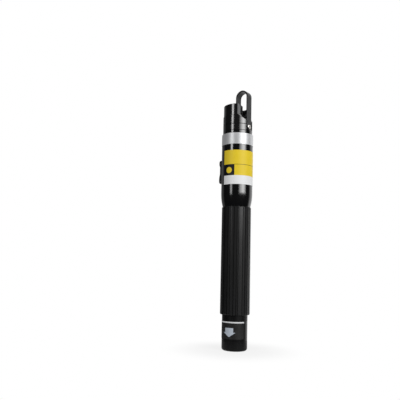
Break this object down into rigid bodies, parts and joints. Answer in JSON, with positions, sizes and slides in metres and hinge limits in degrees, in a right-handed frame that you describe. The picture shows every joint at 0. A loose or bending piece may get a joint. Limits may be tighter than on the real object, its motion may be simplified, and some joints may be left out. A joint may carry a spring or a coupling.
{
  "type": "visual fault locator",
  "caption": "Pen-shaped red light source for finding breaks in optical fibre, with a hinged port cap and loop, a thumb switch, a ribbed grip and a pull-off tail.",
  "frame": {"origin": "centre of the flat tail end", "axes": "+Z along the tool's axis towards the port, +X towards the cap lever, so the thumb switch is at -X"},
  "size_m": [0.0236, 0.0216, 0.1767],
  "materials": {
    "black_body": "glossy black anodised",
    "strap_black": "satin black",
    "cap_black": "matte",
    "pad_rubber": "matte",
    "pin_steel": "ground",
    "screw_steel": "bright",
    "port_steel": "turned",
    "sleeve_ceramic": "glossy white ceramic",
    "brass_parts": "turned",
    "diode_can": "plated",
    "lens_glass": "clear",
    "board_green": "solder mask",
    "chip_black": "matte",
    "switch_can": "tinned",
    "knob_black": "satin",
    "holder_white": "matte",
    "cell_jacket": "satin",
    "grip_rubber": "matte",
    "band_print": "glossy print",
    "label_print": "glossy print",
    "sticker_print": "satin print",
    "spring_steel": "bright"
  },
  "bodies": {
    "tool": {"barrel_housing": "black_body", "head_shell": "black_body", "hinge_pin": "pin_steel", "port_body": "port_steel", "ferrule_sleeve": "sleeve_ceramic", "laser_housing": "brass_parts", "laser_diode": "diode_can", "focus_lens": "lens_glass", "driver_board": "board_green", "driver_chip": "chip_black", "driver_inductor": "chip_black", "switch_body": "switch_can", "contact_holder": "holder_white", "front_contact": "brass_parts", "cell_front": "cell_jacket", "cell_rear": "cell_jacket", "grip_sleeve": "grip_rubber", "front_band": "band_print", "wrap_label": "label_print"},
    "lever": {"cap_lever": "strap_black", "dust_cap": "cap_black", "seal_pad": "pad_rubber", "hinge_knuckle": "black_body", "lever_screw": "screw_steel"},
    "switch": {"switch_knob": "knob_black", "switch_actuator": "knob_black"},
    "tail": {"tail_sleeve": "black_body", "tail_contact": "brass_parts", "tail_spring": "spring_steel", "tail_sticker": "sticker_print"}
  },
  "joints": [
    {"name": "lever_flip", "type": "hinge", "parent": "tool", "child": "lever", "pos_m": [0.0066, 0, 0.1506], "axis": [0, 1, 0], "range_deg": [0, 70]},
    {"name": "switch_slide", "type": "slide", "parent": "tool", "child": "switch", "axis": [0, 0, 1], "range_m": [-0.002, 0.002]},
    {"name": "tail_pull", "type": "slide", "parent": "tool", "child": "tail", "axis": [0, 0, -1], "range_m": [0, 0.013]}
  ]
}
